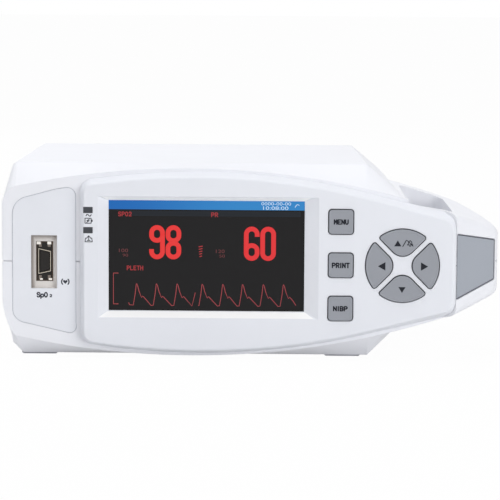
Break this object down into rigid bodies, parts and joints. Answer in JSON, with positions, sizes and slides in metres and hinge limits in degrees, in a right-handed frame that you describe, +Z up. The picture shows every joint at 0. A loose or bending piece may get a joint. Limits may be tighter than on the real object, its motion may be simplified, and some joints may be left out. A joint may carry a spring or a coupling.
{
  "type": "patient monitor",
  "caption": "Compact ward patient monitor with a lens-shaped front, colour display, soft keys, round direction pad, sensor socket, paper printer and moulded carry handle.",
  "frame": {"origin": "middle of the footprint on the surface that the feet stand on", "axes": "+X to the right of the display (towards the handle), +Y from the front to the rear, +Z up"},
  "size_m": [0.2429, 0.1548, 0.0952],
  "materials": {
    "case_shell": "fine satin moulding",
    "bezel_shell": "fine satin moulding",
    "key_plastic": "satin grey",
    "display_glass": "clear anti-glare window over a dark display",
    "panel_metal": "zinc sheet",
    "status_smoke": "smoked lens",
    "board_green": "coated board",
    "mat_rubber": "matt",
    "screw_steel": "plated",
    "socket_nickel": "bright nickel",
    "socket_black": "black moulding",
    "contact_gold": "gold flash",
    "alarm_grey": "smooth grey window",
    "printer_plastic": "dark moulding",
    "platen_rubber": "ground rubber",
    "gear_plastic": "acetal",
    "motor_steel": "zinc plated can",
    "head_ceramic": "glazed ceramic",
    "paper_white": "thermal paper",
    "clamp_steel": "plated sheet",
    "port_plastic": "grey moulding",
    "battery_blue": "shrink sleeve",
    "contact_block": "black moulding"
  },
  "bodies": {
    "housing": {"air_hose": "mat_rubber", "air_manifold": "printer_plastic", "alarm_led_board": "board_green", "alarm_lens": "alarm_grey", "battery_contacts": "contact_block", "battery_door": "case_shell", "battery_door_screw": "screw_steel", "battery_pack": "battery_blue", "board_screws": "screw_steel", "case_screws": "screw_steel", "chassis_plate": "clamp_steel", "cuff_port": "port_plastic", "display_window": "display_glass", "door_hinge_pin": "screw_steel", "front_bezel": "bezel_shell", "inlet_pins": "screw_steel", "key_board": "board_green", "key_mat": "mat_rubber", "lcd_bracket": "panel_metal", "lcd_panel": "panel_metal", "lower_case": "case_shell", "main_board": "board_green", "mains_inlet": "socket_black", "power_module": "board_green", "pressure_pump": "motor_steel", "print_head": "head_ceramic", "printer_frame": "printer_plastic", "printer_motor": "motor_steel", "pump_clamp": "clamp_steel", "release_valve": "motor_steel", "rubber_feet": "mat_rubber", "sensor_board": "board_green", "sensor_plate": "bezel_shell", "socket_contacts": "contact_gold", "socket_core": "socket_black", "socket_latches": "socket_nickel", "socket_shell": "socket_nickel", "speaker": "motor_steel", "status_board": "board_green", "status_light_pipes": "status_smoke", "switch_frame": "socket_black", "upper_case": "case_shell"},
    "menu_button": {"menu_key": "key_plastic"},
    "print_button": {"print_key": "key_plastic"},
    "pressure_button": {"pressure_key": "key_plastic"},
    "right_button": {"right_key": "key_plastic"},
    "up_button": {"up_key": "key_plastic"},
    "left_button": {"left_key": "key_plastic"},
    "down_button": {"down_key": "key_plastic"},
    "paper_door": {"printer_door": "case_shell"},
    "platen": {"platen_roller": "platen_rubber", "platen_gear": "gear_plastic"},
    "drive_wheel": {"drive_gear": "gear_plastic"},
    "paper": {"paper_roll": "paper_white"},
    "power_switch": {"power_rocker": "socket_black"}
  },
  "joints": [
    {"name": "menu_press", "type": "slide", "parent": "housing", "child": "menu_button", "axis": [0, 1, 0], "range_m": [0, 0.0012], "stiffness_N_per_m": 1200},
    {"name": "print_press", "type": "slide", "parent": "housing", "child": "print_button", "axis": [0, 1, 0], "range_m": [0, 0.0012], "stiffness_N_per_m": 1200},
    {"name": "pressure_press", "type": "slide", "parent": "housing", "child": "pressure_button", "axis": [0, 1, 0], "range_m": [0, 0.0012], "stiffness_N_per_m": 1200},
    {"name": "right_press", "type": "slide", "parent": "housing", "child": "right_button", "axis": [0, 1, 0], "range_m": [0, 0.0012], "stiffness_N_per_m": 1200},
    {"name": "up_press", "type": "slide", "parent": "housing", "child": "up_button", "axis": [0, 1, 0], "range_m": [0, 0.0012], "stiffness_N_per_m": 1200},
    {"name": "left_press", "type": "slide", "parent": "housing", "child": "left_button", "axis": [0, 1, 0], "range_m": [0, 0.0012], "stiffness_N_per_m": 1200},
    {"name": "down_press", "type": "slide", "parent": "housing", "child": "down_button", "axis": [0, 1, 0], "range_m": [0, 0.0012], "stiffness_N_per_m": 1200},
    {"name": "paper_door_hinge", "type": "hinge", "parent": "housing", "child": "paper_door", "pos_m": [-0.1134, 0.009, 0.0252], "axis": [0, -1, 0], "range_deg": [0, 92]},
    {"name": "paper_spin", "type": "hinge", "parent": "housing", "child": "paper", "pos_m": [-0.091, 0.009, 0.044], "axis": [0, 1, 0], "continuous": true},
    {"name": "platen_spin", "type": "hinge", "parent": "paper_door", "child": "platen", "pos_m": [-0.109, 0.009, 0.07], "axis": [0, 1, 0], "continuous": true},
    {"name": "drive_spin", "type": "hinge", "parent": "housing", "child": "drive_wheel", "pos_m": [-0.09995, 0.009, 0.07], "axis": [0, 1, 0], "continuous": true},
    {"name": "power_rock", "type": "hinge", "parent": "housing", "child": "power_switch", "pos_m": [0.008, 0.073, 0.027], "axis": [1, 0, 0], "range_deg": [0, 20]}
  ],
  "couplings": [
    {"joint": "platen_spin", "follows": "paper_spin", "ratio": -4.2},
    {"joint": "drive_spin", "follows": "paper_spin", "ratio": 5.25}
  ]
}
